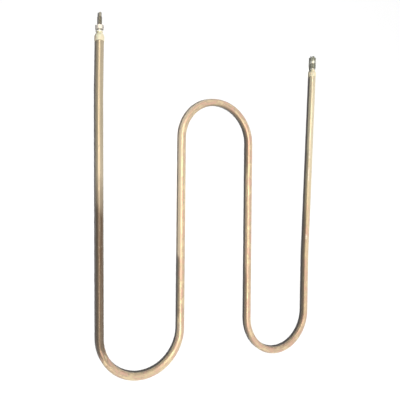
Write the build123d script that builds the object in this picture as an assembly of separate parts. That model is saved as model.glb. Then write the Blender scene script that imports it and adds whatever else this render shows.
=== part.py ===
from build123d import *
import os
from collections import namedtuple
from math import cos, radians, tan

# Tubular heating element: one metal-sheathed tube bent into a flat W, with an M4 stud terminal
# in each end. It lies flat. X runs across the legs, Y along them towards the terminals, Z is up.
# The origin is on the surface it lies on, under the middle of its outline.
# All sizes are in millimetres.

# sheath
SHEATH_D = 8.5
SHEATH_WALL = 0.8
BEND_R = 47.5               # centreline radius of every bend, which sets the legs 95 apart
# Bend table, read from the left mouth: a straight run, then the turn after it. A positive turn
# is anticlockwise from above. The three bends miss 180 degrees a little, and the first and last
# entries are slight sets in the outer legs.
START_HEADING = -90.0       # the left leg is walked from its mouth downwards
BEND_TABLE = [(57.0, 1.0), (258.0, 179.1), (220.0, -180.2), (219.0, 179.2), (75.0, -1.8)]
LAST_RUN = 247.0            # straight run from the last set to the right mouth

# inside the sheath
ROD_D = 3.5                 # cold pin, and the outside of the wound coil
COLD_LENGTH = 160.0         # depth of each cold pin below its mouth, where the coil takes over
SPIGOT_LENGTH = 4.0         # the bead's spigot inside the mouth, which stands on the seal
SPIGOT_CLEARANCE = 0.1      # radial, between spigot and sheath
SEAL_LENGTH = 5.0

# ceramic bead
BEAD_D = 9.4
BEAD_COLLAR = 4.0           # straight part above the mouth, with the dome over it
BEAD_SHOULDER = 8.3         # where the dome ends and the neck starts
BEAD_HEIGHT = 9.6
BEAD_NECK_D = 5.2
BEAD_BORE = 4.3
BEAD_EDGE = 0.3             # bevel of the collar's lower rim

# M4 stud. Its thread is rolled on the 3.5 rod, so the crests stand at 4.0 where it is bare.
# Under a nut the two meet at the rod's diameter, which is the thread's pitch diameter.
# A smooth point ends the stud.
CREST_D = 4.0
THREAD_START = 1.0
STUD_HEIGHT_LEFT = 30.8
STUD_HEIGHT_RIGHT = 29.4
POINT_D = 2.8
POINT_LENGTH = 4.4
POINT_BEVEL = 0.4

# M4 hardware
NUT_AF = 7.0
NUT_HEIGHT = 5.0
NUT_FACE_D = 6.4            # flat ring left by the chamfer at each end
NUT_CHAMFER_ANGLE = 30.0
WASHER_BORE = 4.3
BASE_WASHER_D = 7.0
BASE_WASHER_THICKNESS = 1.4
LUG_WASHER_D = 8.0
LUG_WASHER_THICKNESS = 1.7
SPRING_D = 6.8
SPRING_BORE = 4.1
SPRING_THICKNESS = 1.2
SPRING_GAP = 0.8
SPRING_GAP_LEAN = 20.0      # degrees that the split leans from the axis

# terminal pieces in the order they go on, from the bead outwards, each with the degrees that it
# is turned about the stud. The left terminal has lost its outer set.
INNER_STACK_LEFT = [("base_washer", 0), ("base_spring_washer", 200), ("base_nut", 48)]
INNER_STACK_RIGHT = [("base_washer", 0), ("base_spring_washer", 320), ("base_nut", 56)]
OUTER_STACK_RIGHT = [
    ("outer_spring_washer", 150),
    ("lug_washer_lower", 0),
    ("lug_washer_upper", 0),
    ("outer_nut", 47),
]

Seat = namedtuple("Seat", "name low high turn")

# derived sizes
BORE_D = SHEATH_D - 2 * SHEATH_WALL
SEAL_TOP = -SPIGOT_LENGTH
SEAL_BOTTOM = SEAL_TOP - SEAL_LENGTH


# ---- the bent axis -------------------------------------------------------------------------

def centreline():
    """The tube's axis as one wire in the XY plane, from the left mouth to the right one."""
    heading = Vector(1, 0).rotate(Axis.Z, START_HEADING)
    point = Vector(0, 0)
    edges = []
    for run, turn in BEND_TABLE:
        leg = Line(point, point + heading * run)
        bend = JernArc(start=leg @ 1, tangent=leg % 1, radius=BEND_R, arc_size=turn)
        edges += [leg, bend]
        point = bend @ 1
        heading = bend % 1
    edges.append(Line(point, point + heading * LAST_RUN))
    return Wire(edges)


def stretch(path, start, end):
    """The part of a path between two distances along it."""
    return path.trim(start / path.length, end / path.length)


def ring(outer_d, inner_d):
    return Circle(outer_d / 2) - Circle(inner_d / 2)


def swept(section, path):
    """Sweep a flat section, drawn about the origin, along a path."""
    start = Plane(origin=path @ 0, z_dir=path % 0)
    return sweep(start * section, path=path)


# ---- tube and filling ----------------------------------------------------------------------

def sheath(path):
    return swept(ring(SHEATH_D, BORE_D), path)


def resistance_coil(path):
    """The wound coil and the powder in its turns, as the rod they fill between the cold pins."""
    return swept(Circle(ROD_D / 2), stretch(path, COLD_LENGTH, path.length - COLD_LENGTH))


def magnesia_fill(path):
    """Compacted powder: the lining round pins and coil, from seal to seal."""
    return swept(ring(BORE_D, ROD_D), stretch(path, -SEAL_BOTTOM, path.length + SEAL_BOTTOM))


def cold_rod(path, start):
    """The plain part of a terminal pin, bent with the tube."""
    return swept(Circle(ROD_D / 2), stretch(path, start, start + COLD_LENGTH))


# ---- terminal pieces, built upright about Z with the tube's mouth at height 0 ----------------

def turned(outline):
    """Revolve a closed outline, drawn as radius and height, about the vertical axis."""
    return revolve(Plane.XZ * make_face(outline.edges()), axis=Axis.Z)


def sleeve(outer_d, inner_d, low, high):
    return Pos(0, 0, low) * extrude(ring(outer_d, inner_d), high - low)


def end_seal():
    return sleeve(BORE_D, ROD_D, SEAL_BOTTOM, SEAL_TOP)


def ceramic_bead():
    """A spigot in the mouth, a collar on the rim, and a dome that narrows to a short neck."""
    bore = BEAD_BORE / 2
    spigot = BORE_D / 2 - SPIGOT_CLEARANCE
    rim = BEAD_D / 2
    neck = BEAD_NECK_D / 2
    dome = TangentArc((rim, BEAD_COLLAR), (neck, BEAD_SHOULDER), tangent=(0, 1))
    walls = Polyline(
        (neck, BEAD_SHOULDER),
        (neck, BEAD_HEIGHT),
        (bore, BEAD_HEIGHT),
        (bore, SEAL_TOP),
        (spigot, SEAL_TOP),
        (spigot, 0),
        (rim - BEAD_EDGE, 0),
        (rim, BEAD_EDGE),
        (rim, BEAD_COLLAR),
    )
    return turned(dome + walls)


def base_washer(low, high):
    return sleeve(BASE_WASHER_D, WASHER_BORE, low, high)


def lug_washer(low, high):
    return sleeve(LUG_WASHER_D, WASHER_BORE, low, high)


def spring_washer(low, high):
    """A split ring, closed flat by its nut."""
    middle = Pos(SPRING_D / 2, 0, (low + high) / 2)
    split = middle * Rot(SPRING_GAP_LEAN, 0, 0) * Box(SPRING_D, SPRING_GAP, SPRING_D)
    return sleeve(SPRING_D, SPRING_BORE, low, high) - split


def hexagon_nut(low, high):
    """A hexagon with its corners turned off at both ends."""
    height = high - low
    corner = NUT_AF / 2 / cos(radians(30))
    face = NUT_FACE_D / 2
    drop = (corner - face) * tan(radians(NUT_CHAMFER_ANGLE))
    envelope = turned(
        Polyline(
            (0, 0),
            (face, 0),
            (corner, drop),
            (corner, height - drop),
            (face, height),
            (0, height),
            close=True,
        )
    )
    hexagon = extrude(RegularPolygon(corner, 6), height)
    thread = extrude(Circle(ROD_D / 2), height)
    return Pos(0, 0, low) * (hexagon & envelope - thread)


def stud(seated, stud_height):
    """The pin's end above the mouth, full to the thread's crests except where a nut sits."""
    rod = ROD_D / 2
    crest = CREST_D / 2
    point = POINT_D / 2
    thread_end = stud_height - POINT_LENGTH
    outline = [(0, 0), (rod, 0), (rod, THREAD_START), (crest, THREAD_START)]
    for seat in seated:
        if seat.name.endswith("nut"):
            outline += [(crest, seat.low), (rod, seat.low)]
            if seat.high < thread_end:
                outline += [(rod, seat.high), (crest, seat.high)]
    last_radius = outline[-1][0]
    outline += [(last_radius, thread_end), (point, thread_end)]
    outline += [(point, stud_height - POINT_BEVEL), (point - POINT_BEVEL, stud_height), (0, stud_height)]
    return turned(Polyline(*outline, close=True))


KINDS = {
    "base_washer": (base_washer, BASE_WASHER_THICKNESS),
    "lug_washer": (lug_washer, LUG_WASHER_THICKNESS),
    "spring_washer": (spring_washer, SPRING_THICKNESS),
    "nut": (hexagon_nut, NUT_HEIGHT),
}


def kind_of(name):
    """The maker and the thickness of a stacked piece, by the kind in its name."""
    return next(made for kind, made in KINDS.items() if kind in name)


def seats(stack):
    """Where each piece of a stack sits: it stands on the one before, the first on the bead."""
    low = BEAD_HEIGHT
    seated = []
    for name, turn in stack:
        high = low + kind_of(name)[1]
        seated.append(Seat(name, low, high, turn))
        low = high
    return seated


def terminal(seated, stud_height):
    """All pieces of one terminal by name, upright, the pin without its cold rod."""
    pieces = {
        "terminal_pin": stud(seated, stud_height),
        "end_seal": end_seal(),
        "ceramic_bead": ceramic_bead(),
    }
    for seat in seated:
        maker = kind_of(seat.name)[0]
        pieces[seat.name] = Rot(0, 0, seat.turn) * maker(seat.low, seat.high)
    return pieces


# ---- assembly ------------------------------------------------------------------------------

def assembled():
    """Every piece in place round the sheath's axis, which lies in the XY plane."""
    path = centreline()
    left_mouth = Plane(origin=path @ 0, x_dir=(1, 0, 0), z_dir=-(path % 0))
    right_mouth = Plane(origin=path @ 1, x_dir=(1, 0, 0), z_dir=path % 1)
    left = terminal(seats(INNER_STACK_LEFT), STUD_HEIGHT_LEFT)
    right = terminal(seats(INNER_STACK_RIGHT + OUTER_STACK_RIGHT), STUD_HEIGHT_RIGHT)
    pieces = {
        "sheath": sheath(path),
        "magnesia_fill": magnesia_fill(path),
        "resistance_coil": resistance_coil(path),
    }
    pieces |= {f"{name}_left": left_mouth.location * piece for name, piece in left.items()}
    pieces |= {f"{name}_right": right_mouth.location * piece for name, piece in right.items()}
    pieces["terminal_pin_left"] += cold_rod(path, 0)
    pieces["terminal_pin_right"] += cold_rod(path, path.length - COLD_LENGTH)
    return pieces


def laid_down(pieces):
    """Move the assembly so that it lies on Z = 0 with its outline centred on the origin."""
    box = Compound(list(pieces.values())).bounding_box()
    middle = box.center()
    shift = Pos(-middle.X, -middle.Y, -box.min.Z)
    return {name: shift * piece for name, piece in pieces.items()}


os.makedirs("parts", exist_ok=True)
for node, solid in laid_down(assembled()).items():
    export_step(solid, f"parts/{node}.step")
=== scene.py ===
"""Tubular heating element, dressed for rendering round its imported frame. Lengths are in metres."""
import math

import bpy
from mathutils import Matrix, Vector


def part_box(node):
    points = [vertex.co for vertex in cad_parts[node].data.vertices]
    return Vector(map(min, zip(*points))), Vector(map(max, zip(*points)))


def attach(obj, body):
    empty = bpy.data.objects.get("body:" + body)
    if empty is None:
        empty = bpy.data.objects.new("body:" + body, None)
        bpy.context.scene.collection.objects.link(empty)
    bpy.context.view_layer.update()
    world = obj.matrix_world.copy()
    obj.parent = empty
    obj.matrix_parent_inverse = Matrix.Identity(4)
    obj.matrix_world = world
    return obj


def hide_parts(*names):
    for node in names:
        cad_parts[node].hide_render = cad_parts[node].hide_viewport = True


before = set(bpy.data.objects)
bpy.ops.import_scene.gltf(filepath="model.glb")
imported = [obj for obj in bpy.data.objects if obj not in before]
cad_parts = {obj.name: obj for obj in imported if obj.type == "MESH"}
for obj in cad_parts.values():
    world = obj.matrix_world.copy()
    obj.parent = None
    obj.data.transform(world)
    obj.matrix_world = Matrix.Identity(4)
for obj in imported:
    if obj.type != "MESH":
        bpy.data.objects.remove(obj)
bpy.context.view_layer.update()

MM = 0.001
BODY = "root"

# ---- the part's driving dimensions, as its source has them ----------------------------------

SHEATH_D = 8.5 * MM
SHEATH_WALL = 0.8 * MM
BEND_R = 47.5 * MM
START_HEADING = -90.0
# straight run from the left mouth, then the turn after it, in degrees
BEND_TABLE = [
    (57.0 * MM, 1.0),
    (258.0 * MM, 179.1),
    (220.0 * MM, -180.2),
    (219.0 * MM, 179.2),
    (75.0 * MM, -1.8),
]
LAST_RUN = 247.0 * MM

ROD_D = 3.5 * MM
COLD_LENGTH = 160.0 * MM
SPIGOT_LENGTH = 4.0 * MM
SPIGOT_CLEARANCE = 0.1 * MM
BEAD_D = 9.4 * MM
BEAD_COLLAR = 4.0 * MM
BEAD_SHOULDER = 8.3 * MM
BEAD_HEIGHT = 9.6 * MM
BEAD_NECK_D = 5.2 * MM
BEAD_BORE = 4.3 * MM

CREST_D = 4.0 * MM
ROOT_D = 3.2 * MM
PITCH = 0.7 * MM
THREAD_START = 1.0 * MM
THREAD_RUNOUT = 0.5 * MM
THREAD_FLAT = 0.15          # how far crest and root are cut flat, as a share of the thread's depth
STUD_HEIGHT = {"left": 30.8 * MM, "right": 29.4 * MM}
POINT_D = 2.8 * MM
POINT_LENGTH = 4.4 * MM
POINT_BEVEL = 0.4 * MM

NUT_AF = 7.0 * MM
NUT_HEIGHT = 5.0 * MM
NUT_FACE_D = 6.4 * MM
NUT_CHAMFER_ANGLE = 30.0
NUT_BORE_CHAMFER = 0.3 * MM
WASHER_BORE = 4.3 * MM
BASE_WASHER_D = 7.0 * MM
BASE_WASHER_THICKNESS = 1.4 * MM
LUG_WASHER_D = 8.0 * MM
LUG_WASHER_THICKNESS = 1.7 * MM
SPRING_D = 6.8 * MM
SPRING_BORE = 4.1 * MM
SPRING_THICKNESS = 1.2 * MM
SPRING_GAP = 0.8 * MM
SPRING_GAP_LEAN = 20.0

# each terminal's pieces from the bead outwards, with their turn about the stud in degrees
STACK_LEFT = [("base_washer", 0), ("base_spring_washer", 200), ("base_nut", 48)]
STACK_RIGHT = [
    ("base_washer", 0),
    ("base_spring_washer", 320),
    ("base_nut", 56),
    ("outer_spring_washer", 150),
    ("lug_washer_lower", 0),
    ("lug_washer_upper", 0),
    ("outer_nut", 47),
]

# ---- softened edges --------------------------------------------------------------------------

WASHER_BORE_ROUND = 0.1 * MM
WASHER_CRISP_ROUND = 0.12 * MM
WASHER_ROLLED_ROUND = 0.3 * MM
SPRING_ROUND = 0.12 * MM
NUT_ROUND = 0.12 * MM
NUT_SINK_ROUND = 0.05 * MM
NUT_UPRIGHT_CUT = 0.08 * MM # taken off each upright edge
BEAD_ROUND = 0.3 * MM
BEAD_TOP_BEVEL = 0.25 * MM

# ---- mesh detail -----------------------------------------------------------------------------

TUBE_STEP = 1.5 * MM
TUBE_SIDES = 56
BORE_STEP = 6.0 * MM
LATHE_SIDES = 72
ROUND_STEPS = 3
NUT_ROUND_STEPS = 2
SIDE_SHARE = 2.2            # a rounded corner takes at most one part in this of the sides it joins
DOME_STEPS = 14
THREAD_SIDES = 40
STEPS_PER_TURN = 8
NUT_SIDES = 96
SMOOTH_ANGLE = 35.0         # edges that turn further than this many degrees stay sharp


# ---- the bent axis ---------------------------------------------------------------------------

class Station:
    """A place on the tube's axis: its point, the way ahead, the way to the left, and how far along."""

    def __init__(self, point, heading, along):
        self.point = point
        self.ahead = Vector((math.cos(heading), math.sin(heading), 0))
        self.left = Vector((-math.sin(heading), math.cos(heading), 0))
        self.along = along


def stations(start, step):
    """Places along the whole axis, about a step apart, bends included."""
    heading = math.radians(START_HEADING)
    here = Station(start, heading, 0.0)
    places = [here]
    for run, turn in BEND_TABLE + [(LAST_RUN, 0.0)]:
        count = max(1, round(run / step))
        for k in range(1, count + 1):
            point = here.point + here.ahead * (run * k / count)
            places.append(Station(point, heading, here.along + run * k / count))
        here = places[-1]
        angle = math.radians(abs(turn))
        side = math.copysign(1.0, turn)
        centre = here.point + here.left * (BEND_R * side)
        count = math.ceil(BEND_R * angle / step)
        for k in range(1, count + 1):
            now = heading + side * angle * k / count
            out = Vector((math.sin(now), -math.cos(now), 0)) * (BEND_R * side)
            places.append(Station(centre + out, now, here.along + BEND_R * angle * k / count))
        heading += side * angle
        here = places[-1]
    return places


washer_low, washer_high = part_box("base_washer_left")
axis_point = (washer_low + washer_high) / 2
LEFT_MOUTH = Vector((axis_point.x, washer_low.y - BEAD_HEIGHT, axis_point.z))
AXIS = stations(LEFT_MOUTH, TUBE_STEP)
TUBE_LENGTH = AXIS[-1].along


# ---- mesh helpers ----------------------------------------------------------------------------

def new_object(name, points, faces):
    """A mesh object, shaded smooth but for its sharper edges."""
    mesh = bpy.data.meshes.new(name)
    mesh.from_pydata(points, [], faces)
    mesh.validate()
    mesh.shade_smooth()
    mesh.set_sharp_from_angle(angle=math.radians(SMOOTH_ANGLE))
    piece = bpy.data.objects.new(name, mesh)
    bpy.context.scene.collection.objects.link(piece)
    return piece


def loft(rings, close_end_to_start=False):
    """Quads between neighbouring closed rings that all have the same number of points."""
    points = [point for ring in rings for point in ring]
    sides = len(rings[0])
    last = len(rings) if close_end_to_start else len(rings) - 1
    faces = []
    for k in range(last):
        a = k * sides
        b = (k + 1) % len(rings) * sides
        for j in range(sides):
            n = (j + 1) % sides
            faces.append((a + j, a + n, b + n, b + j))
    return points, faces


def rounded(outline, radii, steps=ROUND_STEPS):
    """A closed outline of (radius, height) points, each corner turned into an arc of its radius."""
    soft = []
    count = len(outline)
    for k, radius in enumerate(radii):
        corner = Vector(outline[k])
        before = Vector(outline[k - 1]) - corner
        after = Vector(outline[(k + 1) % count]) - corner
        reach = min(radius, before.length / SIDE_SHARE, after.length / SIDE_SHARE)
        if reach <= 0:
            soft.append(tuple(corner))
            continue
        first = corner + before.normalized() * reach
        last = corner + after.normalized() * reach
        for j in range(steps + 1):
            t = j / steps
            soft.append(tuple(first * (1 - t) ** 2 + corner * (2 * t * (1 - t)) + last * t ** 2))
    return soft


def lathe(outline):
    """A closed outline of (radius, height) points turned about the upright axis."""
    rings = []
    for j in range(LATHE_SIDES):
        angle = 2 * math.pi * j / LATHE_SIDES
        c, s = math.cos(angle), math.sin(angle)
        rings.append([(r * c, r * s, h) for r, h in outline])
    return loft(rings, close_end_to_start=True)


# ---- terminal pieces, upright about Z with the tube's mouth at height 0 ------------------------

def stamped_ring(diameter, low, high):
    """One outer edge is rolled over by the punch, the other is crisp."""
    inner, outer = WASHER_BORE / 2, diameter / 2
    outline = [(inner, low), (outer, low), (outer, high), (inner, high)]
    radii = [WASHER_BORE_ROUND, WASHER_CRISP_ROUND, WASHER_ROLLED_ROUND, WASHER_BORE_ROUND]
    return lathe(rounded(outline, radii))


def base_washer(low, high):
    return stamped_ring(BASE_WASHER_D, low, high)


def lug_washer(low, high):
    return stamped_ring(LUG_WASHER_D, low, high)


def spring_washer(low, high):
    """A split ring whose two cut faces lean from the axis."""
    inner, outer = SPRING_BORE / 2, SPRING_D / 2
    corners = [(inner, low), (outer, low), (outer, high), (inner, high)]
    outline = rounded(corners, [SPRING_ROUND] * len(corners))
    middle = (low + high) / 2
    half_gap = math.asin(SPRING_GAP / 2 / outer)
    lean = math.tan(math.radians(SPRING_GAP_LEAN))
    rings = []
    for k in range(LATHE_SIDES + 1):
        base = half_gap + (2 * math.pi - 2 * half_gap) * k / LATHE_SIDES
        ring = []
        for r, h in outline:
            angle = base - (h - middle) * lean / r
            ring.append((r * math.cos(angle), r * math.sin(angle), h))
        rings.append(ring)
    points, faces = loft(rings)
    count = len(outline)
    faces.append(tuple(reversed(range(count))))
    faces.append(tuple(range(len(points) - count, len(points))))
    return points, faces


def hexagon_radius(angle):
    """Distance from the axis to a hexagon's side, with its upright edges slightly cut back."""
    sixth = math.pi / 3
    off = angle % sixth - sixth / 2
    straight = NUT_AF / 2 / math.cos(off)
    corner = NUT_AF / 2 / math.cos(sixth / 2) - NUT_UPRIGHT_CUT
    return min(straight, corner)


def hexagon_nut(low, high):
    """A hexagon with its corners turned off at both ends and its bore countersunk."""
    bore = ROD_D / 2
    sink = bore + NUT_BORE_CHAMFER
    face = NUT_FACE_D / 2
    slope = math.tan(math.radians(NUT_CHAMFER_ANGLE))
    radii = [0, NUT_SINK_ROUND] + [NUT_ROUND] * 4 + [NUT_SINK_ROUND, 0]
    rings = []
    for j in range(NUT_SIDES):
        angle = 2 * math.pi * j / NUT_SIDES
        c, s = math.cos(angle), math.sin(angle)
        rim = hexagon_radius(angle)
        drop = (rim - face) * slope
        outline = [
            (bore, low + NUT_BORE_CHAMFER),
            (sink, low),
            (face, low),
            (rim, low + drop),
            (rim, high - drop),
            (face, high),
            (sink, high),
            (bore, high - NUT_BORE_CHAMFER),
        ]
        rings.append([(r * c, r * s, h) for r, h in rounded(outline, radii, NUT_ROUND_STEPS)])
    return loft(rings, close_end_to_start=True)


def ceramic_bead():
    """A spigot in the mouth, a collar on the rim and a dome that narrows to a short neck."""
    bore, rim, neck = BEAD_BORE / 2, BEAD_D / 2, BEAD_NECK_D / 2
    spigot = SHEATH_D / 2 - SHEATH_WALL - SPIGOT_CLEARANCE
    walls = rounded(
        [(spigot, -SPIGOT_LENGTH), (spigot, 0), (rim, 0), (rim, BEAD_COLLAR)],
        [BEAD_ROUND, 0, BEAD_ROUND, 0],
    )
    rise, inset = BEAD_SHOULDER - BEAD_COLLAR, rim - neck
    arc_radius = (rise ** 2 + inset ** 2) / (2 * inset)
    dome = []
    for k in range(1, DOME_STEPS + 1):
        up = rise * k / DOME_STEPS
        dome.append((rim - arc_radius + math.sqrt(arc_radius ** 2 - up ** 2), BEAD_COLLAR + up))
    bevel_low = BEAD_HEIGHT - BEAD_TOP_BEVEL
    top = [
        (neck, bevel_low),
        (neck - BEAD_TOP_BEVEL, BEAD_HEIGHT),
        (bore + BEAD_TOP_BEVEL, BEAD_HEIGHT),
        (bore, bevel_low),
    ]
    return lathe(walls + dome + top + [(bore, -SPIGOT_LENGTH)])


def thread_radius(height, angle, thread_end, nuts):
    """The stud's radius on its screw line: at most the rod's under a nut, and less at the run-out."""
    turn = (height / PITCH - angle / (2 * math.pi)) % 1.0
    flank = abs(2 * turn - 1)
    depth = min(1.0, max(0.0, flank * (1 + 2 * THREAD_FLAT) - THREAD_FLAT))
    radius = (ROOT_D + (CREST_D - ROOT_D) * depth) / 2
    if any(low <= height <= high for low, high in nuts):
        radius = min(radius, ROD_D / 2)
    return min(radius, CREST_D / 2 - max(0.0, height - (thread_end - THREAD_RUNOUT)))


def threaded_pin(stud_height, nuts, cold_places, to_mouth):
    """The cold rod, bent with the tube, and its stud with a rolled thread and a smooth point."""
    thread_end = stud_height - POINT_LENGTH
    rod, point = ROD_D / 2, POINT_D / 2
    angles = [2 * math.pi * j / THREAD_SIDES for j in range(THREAD_SIDES)]
    rings = []

    def add_ring(height, radius_at):
        rings.append([(radius_at(a) * math.cos(a), radius_at(a) * math.sin(a), height) for a in angles])

    for place, outward in cold_places:
        onto = to_mouth.inverted() @ terminal_frame(place.point, outward)
        rings.append([onto @ Vector((rod * math.cos(a), rod * math.sin(a), 0.0)) for a in angles])
    add_ring(THREAD_START, lambda angle: rod)
    count = round((thread_end - THREAD_START) / PITCH * STEPS_PER_TURN)
    for k in range(1, count + 1):
        height = THREAD_START + (thread_end - THREAD_START) * k / count
        add_ring(height, lambda angle: thread_radius(height, angle, thread_end, nuts))
    for height, radius in (
        (thread_end, point),
        (stud_height - POINT_BEVEL, point),
        (stud_height - POINT_BEVEL / 3, point - POINT_BEVEL / 3),
        (stud_height, point - POINT_BEVEL),
    ):
        add_ring(height, lambda angle: radius)
    points, faces = loft(rings)
    faces.append(tuple(reversed(range(THREAD_SIDES))))
    faces.append(tuple(range(len(points) - THREAD_SIDES, len(points))))
    return points, faces


# each kind of stacked piece: what makes it, its thickness and its slot
KINDS = {
    "base_washer": (base_washer, BASE_WASHER_THICKNESS, "washer"),
    "lug_washer": (lug_washer, LUG_WASHER_THICKNESS, "washer"),
    "spring_washer": (spring_washer, SPRING_THICKNESS, "spring_washer"),
    "nut": (hexagon_nut, NUT_HEIGHT, "nut"),
}


# ---- shader helpers --------------------------------------------------------------------------

class Shader:
    """A material whose nodes are added and linked by short calls."""

    def __init__(self, name):
        self.material = bpy.data.materials.new(name)
        self.material.use_nodes = True
        self.tree = self.material.node_tree
        self.surface = self.tree.nodes["Principled BSDF"]

    def node(self, kind, sockets=(), **settings):
        made = self.tree.nodes.new("ShaderNode" + kind)
        for key, value in settings.items():
            setattr(made, key, value)
        for key, value in dict(sockets).items():
            self.put(made.inputs[key], value)
        return made

    def put(self, socket, value):
        if isinstance(value, bpy.types.NodeSocket):
            self.tree.links.new(value, socket)
        else:
            socket.default_value = value

    def set(self, **values):
        """Inputs of the surface by name, with _ for a space."""
        for key, value in values.items():
            self.put(self.surface.inputs[key.replace("_", " ")], value)

    def math(self, operation, a, b, clamp=False):
        made = self.node("Math", operation=operation, use_clamp=clamp)
        self.put(made.inputs[0], a)
        self.put(made.inputs[1], b)
        return made.outputs[0]

    def noise(self, where, scale, detail=3.0, roughness=0.5):
        sockets = {"Vector": where, "Scale": scale, "Detail": detail, "Roughness": roughness}
        return self.node("TexNoise", sockets).outputs["Fac"]

    def stretched_noise(self, where, grain, detail, roughness=0.5):
        """Noise with its own scale on each axis."""
        stretched = self.node("Mapping", {"Vector": where, "Scale": grain})
        return self.noise(stretched.outputs["Vector"], 1.0, detail, roughness)

    def step(self, value, low, high, to_low=0.0, to_high=1.0, smooth=True):
        made = self.node("MapRange", interpolation_type="SMOOTHSTEP" if smooth else "LINEAR")
        for key, what in (
            ("Value", value),
            ("From Min", low),
            ("From Max", high),
            ("To Min", to_low),
            ("To Max", to_high),
        ):
            self.put(made.inputs[key], what)
        return made.outputs["Result"]

    def band(self, value, low, high, soft):
        """1 between low and high, fading to 0 over soft beyond each, all in millimetres."""
        rise = self.step(value, (low - soft) * MM, low * MM)
        fall = self.step(value, high * MM, (high + soft) * MM, 1.0, 0.0)
        return self.math("MULTIPLY", rise, fall)

    def ramp(self, value, stops):
        made = self.node("ValToRGB", {"Fac": value})
        elements = made.color_ramp.elements
        while len(elements) < len(stops):
            elements.new(0.5)
        for element, (position, _) in zip(elements, stops):
            element.position = position
        for element, (_, colour) in zip(elements, stops):
            element.color = (*colour, 1.0)
        return made.outputs["Color"]

    def mix(self, amount, first, second, blend="MIX"):
        made = self.node("Mix", data_type="RGBA", blend_type=blend)
        self.put(made.inputs[0], amount)
        for socket, value in ((made.inputs[6], first), (made.inputs[7], second)):
            self.put(socket, (*value, 1.0) if isinstance(value, tuple) else value)
        return made.outputs[2]

    def bump(self, height, distance, strength=1.0, under=None):
        sockets = {"Height": height, "Distance": distance, "Strength": strength}
        made = self.node("Bump", sockets)
        if under is not None:
            self.put(made.inputs["Normal"], under)
        return made.outputs["Normal"]

    def place(self):
        """Where a point is on its piece, in metres."""
        return self.node("TexCoord").outputs["Object"]


def tone(red, green, blue):
    """A colour as it looks on screen, from 0 to 255, in the linear units of a shader."""
    return tuple(
        c / 12.92 if c <= 0.04045 else ((c + 0.055) / 1.055) ** 2.4
        for c in (red / 255, green / 255, blue / 255)
    )


# ---- materials -------------------------------------------------------------------------------

STRAW = tone(193, 177, 147)
PALE_STRAW = tone(204, 188, 160)
UMBER = tone(99, 78, 58)
PEACH = tone(222, 192, 158)
PALE_GOLD = tone(236, 213, 172)
ROSE = tone(222, 176, 156)
CREAM = tone(230, 216, 184)
# painted shade: multiplies the colour down the tube's flanks
FLANK_SHADE = tone(206, 210, 208)
# painted shade and painted dark reflection under the tube
UNDERSIDE_SHADE = tone(72, 62, 50)
# partly scorch and partly painted shade: the dark of the flank bands
SCORCH_AND_SHADE = tone(82, 68, 54)
SMOKE = tone(150, 140, 122)
SCALE = tone(214, 202, 184)
ASH = tone(226, 207, 176)

# tint along the tube, by share of its length
TINTS = [
    (0.0, STRAW),
    (0.060, STRAW),
    (0.098, PALE_STRAW),
    (0.121, UMBER),
    (0.208, UMBER),
    (0.230, PEACH),
    (0.275, PALE_GOLD),
    (0.320, PEACH),
    (0.420, PALE_GOLD),
    (0.520, PEACH),
    (0.700, PEACH),
    (0.780, PEACH),
    (0.880, PALE_GOLD),
    (0.930, CREAM),
    (1.0, CREAM),
]
# noise moves the edges of these tints, and of the stretches below, within this width
DRIFT = 50.0 * MM
# scales of the sheath's noises, per metre along the tube, to its left and up
DRIFT_GRAIN = (22.0, 120.0, 120.0)
STREAK_GRAIN = (7.0, 900.0, 900.0)
PATCH_GRAIN = (60.0, 170.0, 170.0)
SPECK_GRAIN = (300.0, 700.0, 700.0)
MOTTLE_GRAIN = (90.0, 230.0, 230.0)
# scratches lie along a terminal, which is along Y
SCRATCH_GRAIN = (2500.0, 600.0, 2500.0)

# The places below are in millimetres along the tube from its left mouth, or to its left.

# dark bands on the flanks, partly scorch in the metal and partly painted shade: from and to along the
# tube, how softly it ends, how strong, how far round it reaches from the flank (1 would be the crown),
# and which flank it is on (1 left, -1 right)
SCORCH_AND_SHADE_BANDS = [
    (0, 325, 8, 0.4, 0.75, -1),
    (180, 325, 10, 0.75, 0.85, -1),
    (478, 549, 3, 0.6, 0.33, 1),
    (755, 850, 25, 0.6, 0.5, -1),
    (1010, 1075, 20, 0.55, 0.55, -1),
    (1200, 1320, 40, 0.75, 0.85, 1),
    (1350, 1410, 12, 0.35, 0.9, 1),
]
# pale flecks where scale has come off: place along, place to the left, half length, half width
FLECKS = [
    (466, 2.2, 4.5, 1.0),
    (1302, 2.2, 3.0, 0.9),
    (1388, 2.4, 9.0, 0.8),
    (1415, 2.5, 5.0, 0.8),
    (1441, 2.6, 3.0, 0.8),
]
FLECK_SOFT_ENDS = 1.0
FLECK_SOFT_SIDES = 0.4
# where the left flank is ashen instead of dark: from, to and how softly it ends
ASHEN_FLANK = (553, 745, 6)
# the stretch that the coil has mottled rose and gold: from, to and how softly it ends
MOTTLED = (330, 1330, 15)
MOTTLE_STRENGTH = 0.65


def heat_tinted(m, along, mottle, streaks, specks):
    """The tints by place, with smoky streaks and specks, mottled rose and gold over the coil."""
    colour = m.ramp(m.math("DIVIDE", along, TUBE_LENGTH), TINTS)
    colour = m.mix(m.step(streaks, 0.42, 0.62, 0.0, 0.5), colour, SMOKE)
    over_coil = m.band(along, *MOTTLED)
    for low, high, tint in ((0.51, 0.58, ROSE), (0.47, 0.41, PALE_GOLD)):
        spots = m.step(mottle, low, high, 0.0, MOTTLE_STRENGTH)
        colour = m.mix(m.math("MULTIPLY", spots, over_coil), colour, tint)
    return m.mix(m.step(specks, 0.54, 0.7, 0.0, 0.55), colour, SMOKE)


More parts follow.
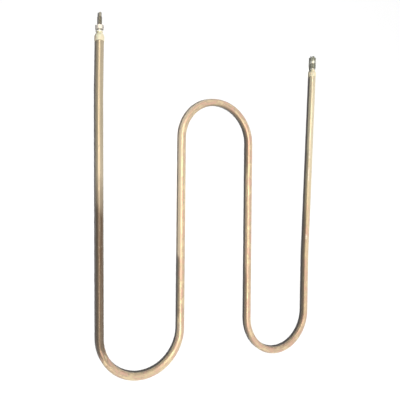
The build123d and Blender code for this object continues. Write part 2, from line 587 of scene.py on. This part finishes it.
def scorched_and_shaded(m, colour, along, left):
    """Dark bands on the flanks, partly scorch in the metal and partly painted shade."""
    radius = SHEATH_D / 2
    for start, end, soft, strength, reach, side in SCORCH_AND_SHADE_BANDS:
        beyond = m.step(left, side * (1 - reach) * radius, side * radius)
        there = m.band(along, start, end, soft)
        amount = m.math("MULTIPLY", m.math("MULTIPLY", beyond, there), strength)
        # partly scorch, partly painted shade on the flank
        colour = m.mix(amount, colour, SCORCH_AND_SHADE)
    return colour


def flecked(m, colour, skin, specks):
    """Pale flecks with broken edges, on the upper half only."""
    upper = m.step(skin["Z"], 0.0, 0.1 * SHEATH_D)
    broken = m.step(specks, 0.42, 0.5)
    for place, across, half_length, half_width in FLECKS:
        there = m.band(skin["X"], place - half_length, place + half_length, FLECK_SOFT_ENDS)
        here = m.band(skin["Y"], across - half_width, across + half_width, FLECK_SOFT_SIDES)
        amount = m.math("MULTIPLY", m.math("MULTIPLY", there, here), broken)
        colour = m.mix(m.math("MULTIPLY", amount, upper), colour, SCALE)
    return colour


def darker_below(m, colour, along, left, up):
    """Painted shade: greyer and darker down the flanks, and a painted dark underside, with one ashen
    flank.
    """
    radius = SHEATH_D / 2
    # painted shade, greyer and darker down the flanks
    flank = m.step(up, 0.85 * radius, 0.1 * radius, smooth=False)
    colour = m.mix(flank, colour, m.mix(1.0, colour, FLANK_SHADE, "MULTIPLY"))
    # painted shade and painted dark reflection underneath, below the axis
    colour = m.mix(m.step(up, 0.1 * radius, -0.5 * radius), colour, UNDERSIDE_SHADE)
    there = m.band(along, *ASHEN_FLANK)
    ashen = m.math("MULTIPLY", there, m.step(left, 0.35 * radius, 0.85 * radius))
    return m.mix(m.math("MULTIPLY", ashen, 0.85), colour, ASH)


def sheath_metal():
    """Annealed stainless tube: straw in its cold ends, umber and peach where the coil heats it."""
    m = Shader("sheath_metal")
    vector = m.node("Attribute", attribute_name="skin").outputs["Vector"]
    skin = m.node("SeparateXYZ", {"Vector": vector}).outputs
    left, up = skin["Y"], skin["Z"]
    drift = m.math("SUBTRACT", m.stretched_noise(vector, DRIFT_GRAIN, 4.0), 0.5)
    along = m.math("ADD", skin["X"], m.math("MULTIPLY", drift, DRIFT))
    streaks = m.stretched_noise(vector, STREAK_GRAIN, 4.0, 0.6)
    patches = m.stretched_noise(vector, PATCH_GRAIN, 4.0, 0.65)
    specks = m.stretched_noise(vector, SPECK_GRAIN, 3.0, 0.7)
    mottle = m.stretched_noise(vector, MOTTLE_GRAIN, 3.0, 0.6)

    colour = heat_tinted(m, along, mottle, streaks, specks)
    colour = scorched_and_shaded(m, colour, along, left)
    colour = flecked(m, colour, skin, specks)
    colour = darker_below(m, colour, along, left, up)
    m.set(
        Base_Color=colour,
        Metallic=0.35,
        Roughness=m.step(patches, 0.25, 0.75, 0.3, 0.42),
        Normal=m.bump(streaks, 0.02 * MM, 0.5, under=m.bump(specks, 0.03 * MM, 0.4)),
    )
    return m.material


def ceramic():
    """Cream and slightly translucent."""
    m = Shader("ceramic")
    where = m.place()
    grain = m.noise(where, 900.0, detail=5.0)
    cloud = m.noise(where, 160.0, detail=2.0)
    m.set(
        Base_Color=m.mix(m.step(cloud, 0.3, 0.7), tone(250, 241, 206), tone(246, 232, 198)),
        Roughness=m.step(grain, 0.3, 0.7, 0.38, 0.55),
        Normal=m.bump(grain, 0.02 * MM, 0.5),
        Subsurface_Weight=0.15,
        Subsurface_Radius=(1.0 * MM, 0.7 * MM, 0.4 * MM),
        Subsurface_Scale=1.0,
    )
    return m.material


def worn_metal(name, clean, dull, roughness, metallic=0.9):
    """Plated or bare steel with dulled patches, fine scratches and a slightly uneven skin."""
    m = Shader(name)
    where = m.place()
    cloud = m.noise(where, 420.0, detail=4.0, roughness=0.6)
    scratches = m.stretched_noise(where, SCRATCH_GRAIN, 2.0)
    m.set(
        Base_Color=m.mix(m.step(cloud, 0.35, 0.7), clean, dull),
        Metallic=metallic,
        Roughness=m.step(cloud, 0.3, 0.75, *roughness),
        Normal=m.bump(scratches, 0.01 * MM, 0.4),
    )
    return m.material


def powder():
    """Compacted magnesia, white and matt."""
    m = Shader("magnesia")
    grain = m.noise(m.place(), 1500.0, detail=4.0)
    m.set(
        Base_Color=m.mix(grain, tone(238, 236, 230), tone(222, 219, 210)),
        Roughness=m.step(grain, 0.2, 0.8, 0.8, 0.95),
        Normal=m.bump(grain, 0.03 * MM),
    )
    return m.material


def coil_wire():
    """Close turns of round wire, as rings across the sleeve that they fill."""
    m = Shader("resistance_wire")
    where = m.place()
    turns = m.node("TexWave", {"Vector": where, "Scale": 300.0, "Distortion": 0.3}, bands_direction="Y")
    cloud = m.noise(where, 300.0)
    m.set(
        Base_Color=m.mix(cloud, tone(150, 146, 142), tone(118, 112, 106)),
        Metallic=0.9,
        Roughness=m.step(cloud, 0.2, 0.8, 0.3, 0.45),
        Normal=m.bump(turns.outputs["Fac"], 0.2 * MM),
    )
    return m.material


def sealant():
    """Red-brown moisture seal."""
    m = Shader("seal")
    grain = m.noise(m.place(), 700.0, detail=3.0)
    m.set(
        Base_Color=m.mix(grain, tone(196, 136, 116), tone(172, 112, 94)),
        Roughness=m.step(grain, 0.2, 0.8, 0.5, 0.7),
        Normal=m.bump(grain, 0.02 * MM),
    )
    return m.material


# by slot, or by slot and side where the two terminals differ
MATERIALS = {
    "sheath": sheath_metal(),
    "magnesia": powder(),
    "resistance_wire": coil_wire(),
    "stud_left": worn_metal("bare_stud", tone(158, 153, 140), tone(130, 126, 114), (0.45, 0.6)),
    "stud_right": worn_metal("dull_stud", tone(132, 134, 120), tone(108, 108, 96), (0.45, 0.6)),
    "seal": sealant(),
    "ceramic": ceramic(),
    "nut_left": worn_metal("bright_nut", tone(212, 206, 196), tone(188, 181, 173), (0.35, 0.5), 0.7),
    "nut_right": worn_metal("dull_nut", tone(150, 152, 136), tone(120, 120, 106), (0.3, 0.45)),
    "spring_washer": worn_metal("spring_washer", tone(150, 148, 138), tone(116, 112, 102), (0.35, 0.5)),
    "washer_left": worn_metal("bright_washer", tone(240, 238, 228), tone(220, 216, 204), (0.3, 0.42)),
    "washer_right": worn_metal("dull_washer", tone(206, 206, 194), tone(176, 176, 164), (0.3, 0.42)),
}


# ---- pieces ----------------------------------------------------------------------------------

def finish_piece(piece, node, look):
    """Give a piece its material, attach it to the body and hide the node of the frame that it stands for.
    """
    piece.data.materials.clear()
    piece.data.materials.append(MATERIALS[look])
    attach(piece, BODY)
    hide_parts(node)


def tube_rings(places, radius):
    """Rings round the axis, with each point's place on the skin: along, to the left, and up."""
    rings = []
    skin = []
    for place in places:
        ring = []
        for j in range(TUBE_SIDES):
            angle = 2 * math.pi * j / TUBE_SIDES
            left, up = radius * math.cos(angle), radius * math.sin(angle)
            ring.append(place.point + place.left * left + Vector((0, 0, up)))
            skin.append((place.along, left, up))
        rings.append(ring)
    return rings, skin


def build_sheath():
    """The bent tube with its bore, which opens at two square mouths."""
    outer, skin = tube_rings(AXIS, SHEATH_D / 2)
    inner, inner_skin = tube_rings(stations(LEFT_MOUTH, BORE_STEP), SHEATH_D / 2 - SHEATH_WALL)
    points, faces = loft(outer)
    inner_points, inner_faces = loft(inner)
    base = len(points)
    points += inner_points
    skin += inner_skin
    faces += [tuple(base + k for k in reversed(face)) for face in inner_faces]
    last_outer = base - TUBE_SIDES
    last_inner = len(points) - TUBE_SIDES
    for j in range(TUBE_SIDES):
        n = (j + 1) % TUBE_SIDES
        faces.append((j, base + j, base + n, n))
        faces.append((last_outer + j, last_outer + n, last_inner + n, last_inner + j))
    piece = new_object("bent_sheath", points, faces)
    attribute = piece.data.attributes.new("skin", "FLOAT_VECTOR", "POINT")
    attribute.data.foreach_set("vector", [value for place in skin for value in place])
    return piece


def terminal_frame(place, outward):
    """From a piece drawn upright at the mouth to its place on the bent tube."""
    down = Vector((0, 0, -1))
    across = down.cross(outward)
    columns = Matrix((across, down, outward)).transposed().to_4x4()
    return Matrix.Translation(place) @ columns


def build_terminal(side, stack, cold_places):
    """A terminal's pieces, and its pin along the given places from the coil's end to the mouth."""
    to_place = terminal_frame(cold_places[-1][0].point, cold_places[-1][1])
    made = [("ceramic_bead", "ceramic", 0, ceramic_bead())]
    nuts = []
    low = BEAD_HEIGHT
    for name, turn in stack:
        maker, thickness, slot = next(KINDS[kind] for kind in KINDS if kind in name)
        made.append((name, slot, turn, maker(low, low + thickness)))
        if slot == "nut":
            nuts.append((low, low + thickness))
        low += thickness
    made.append(("terminal_pin", "stud", 0, threaded_pin(STUD_HEIGHT[side], nuts, cold_places, to_place)))
    for name, slot, turn, (points, faces) in made:
        node = f"{name}_{side}"
        piece = new_object("fine_" + node, points, faces)
        piece.data.transform(to_place @ Matrix.Rotation(math.radians(turn), 4, "Z"))
        look = slot if slot in MATERIALS else f"{slot}_{side}"
        finish_piece(piece, node, look)


finish_piece(build_sheath(), "sheath", "sheath")
cold_left = [(place, -place.ahead) for place in AXIS if place.along <= COLD_LENGTH]
cold_right = [(place, place.ahead) for place in AXIS if place.along >= TUBE_LENGTH - COLD_LENGTH]
build_terminal("left", STACK_LEFT, cold_left[::-1])
build_terminal("right", STACK_RIGHT, cold_right)

# nodes inside the sheath, which keep the frame's own mesh
CARRIED_OVER = {
    "magnesia_fill": "magnesia",
    "resistance_coil": "resistance_wire",
    "end_seal_left": "seal",
    "end_seal_right": "seal",
}
for name, slot in CARRIED_OVER.items():
    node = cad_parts[name]
    node.data.materials.clear()
    node.data.materials.append(MATERIALS[slot])


# ---- floor, light and camera -----------------------------------------------------------------

FLOOR_SIZE = 6.0
FLOOR_GLOW = 0.05
KEY_SIZE = (0.4, 0.4)
KEY_PLACE = Vector((-0.05, -0.7, 4.0))
KEY_POWER = 168.0
GLINT_SIZE = (2.4, 0.25)
GLINT_PLACE = Vector((-0.7, 0.0, 1.2))
GLINT_POWER = 22.0
GLINT_COLOUR = (1.0, 0.88, 0.7)
FILL_LEVEL = 0.05
CAMERA_PLACE = Vector((-280.03 * MM, -11.66 * MM, 459.89 * MM))
CAMERA_ANGLES = (0.698, -29.046, 0.678)
CAMERA_LENS = 39.27
SENSOR_WIDTH = 36.0


def pale_floor():
    """Near white, with a faint glow of its own where it is seen or mirrored."""
    m = Shader("pale_floor")
    seen = m.node("LightPath")
    rays = m.math("ADD", seen.outputs["Is Camera Ray"], seen.outputs["Is Glossy Ray"])
    rays = m.math("ADD", rays, seen.outputs["Is Transmission Ray"], clamp=True)
    grain = m.noise(m.place(), 8.0, detail=2.0)
    m.set(
        Base_Color=m.mix(grain, (0.94, 0.94, 0.94), (0.95, 0.95, 0.95)),
        Roughness=0.9,
        Specular_IOR_Level=0.0,
        Emission_Color=(1.0, 1.0, 1.0, 1.0),
        Emission_Strength=m.math("MULTIPLY", rays, FLOOR_GLOW),
    )
    return m.material


def build_floor():
    half = FLOOR_SIZE / 2
    corners = [(-half, -half, 0), (half, -half, 0), (half, half, 0), (-half, half, 0)]
    floor = new_object("floor", corners, [(0, 1, 2, 3)])
    floor.data.materials.append(pale_floor())


def build_lamp(name, size, place, power):
    """A lamp that faces the origin. Its size is its level side, then the side across that."""
    data = bpy.data.lights.new(name, "AREA")
    data.shape = "RECTANGLE"
    data.size, data.size_y = size
    data.energy = power
    lamp = bpy.data.objects.new(name, data)
    lamp.location = place
    lamp.rotation_euler = place.to_track_quat("Z", "Y").to_euler()
    bpy.context.scene.collection.objects.link(lamp)
    return lamp


def build_world():
    """White where it is seen or mirrored, and a weak even fill for everything else."""
    world = bpy.data.worlds.new("studio")
    world.use_nodes = True
    tree = world.node_tree
    background = tree.nodes["Background"]
    background.inputs["Color"].default_value = (1.0, 1.0, 1.0, 1.0)
    seen = tree.nodes.new("ShaderNodeLightPath")
    shown = seen.outputs["Is Camera Ray"]
    for ray in ("Is Glossy Ray", "Is Transmission Ray"):
        total = tree.nodes.new("ShaderNodeMath")
        total.operation = "MAXIMUM"
        tree.links.new(shown, total.inputs[0])
        tree.links.new(seen.outputs[ray], total.inputs[1])
        shown = total.outputs[0]
    level = tree.nodes.new("ShaderNodeMapRange")
    level.inputs["To Min"].default_value = FILL_LEVEL
    level.inputs["To Max"].default_value = 1.0
    tree.links.new(shown, level.inputs["Value"])
    tree.links.new(level.outputs["Result"], background.inputs["Strength"])
    bpy.context.scene.world = world


def build_camera():
    data = bpy.data.cameras.new("camera")
    data.sensor_width = SENSOR_WIDTH
    data.lens = CAMERA_LENS
    camera = bpy.data.objects.new("camera", data)
    camera.location = CAMERA_PLACE
    camera.rotation_euler = [math.radians(angle) for angle in CAMERA_ANGLES]
    bpy.context.scene.collection.objects.link(camera)
    bpy.context.scene.camera = camera


build_floor()
key = build_lamp("key", KEY_SIZE, KEY_PLACE, KEY_POWER)
key.visible_glossy = False
glint = build_lamp("glint", GLINT_SIZE, GLINT_PLACE, GLINT_POWER)
glint.visible_diffuse = False
glint.data.color = GLINT_COLOUR
build_world()
build_camera()
bpy.context.scene.view_settings.view_transform = "Standard"

bpy.context.view_layer.update()
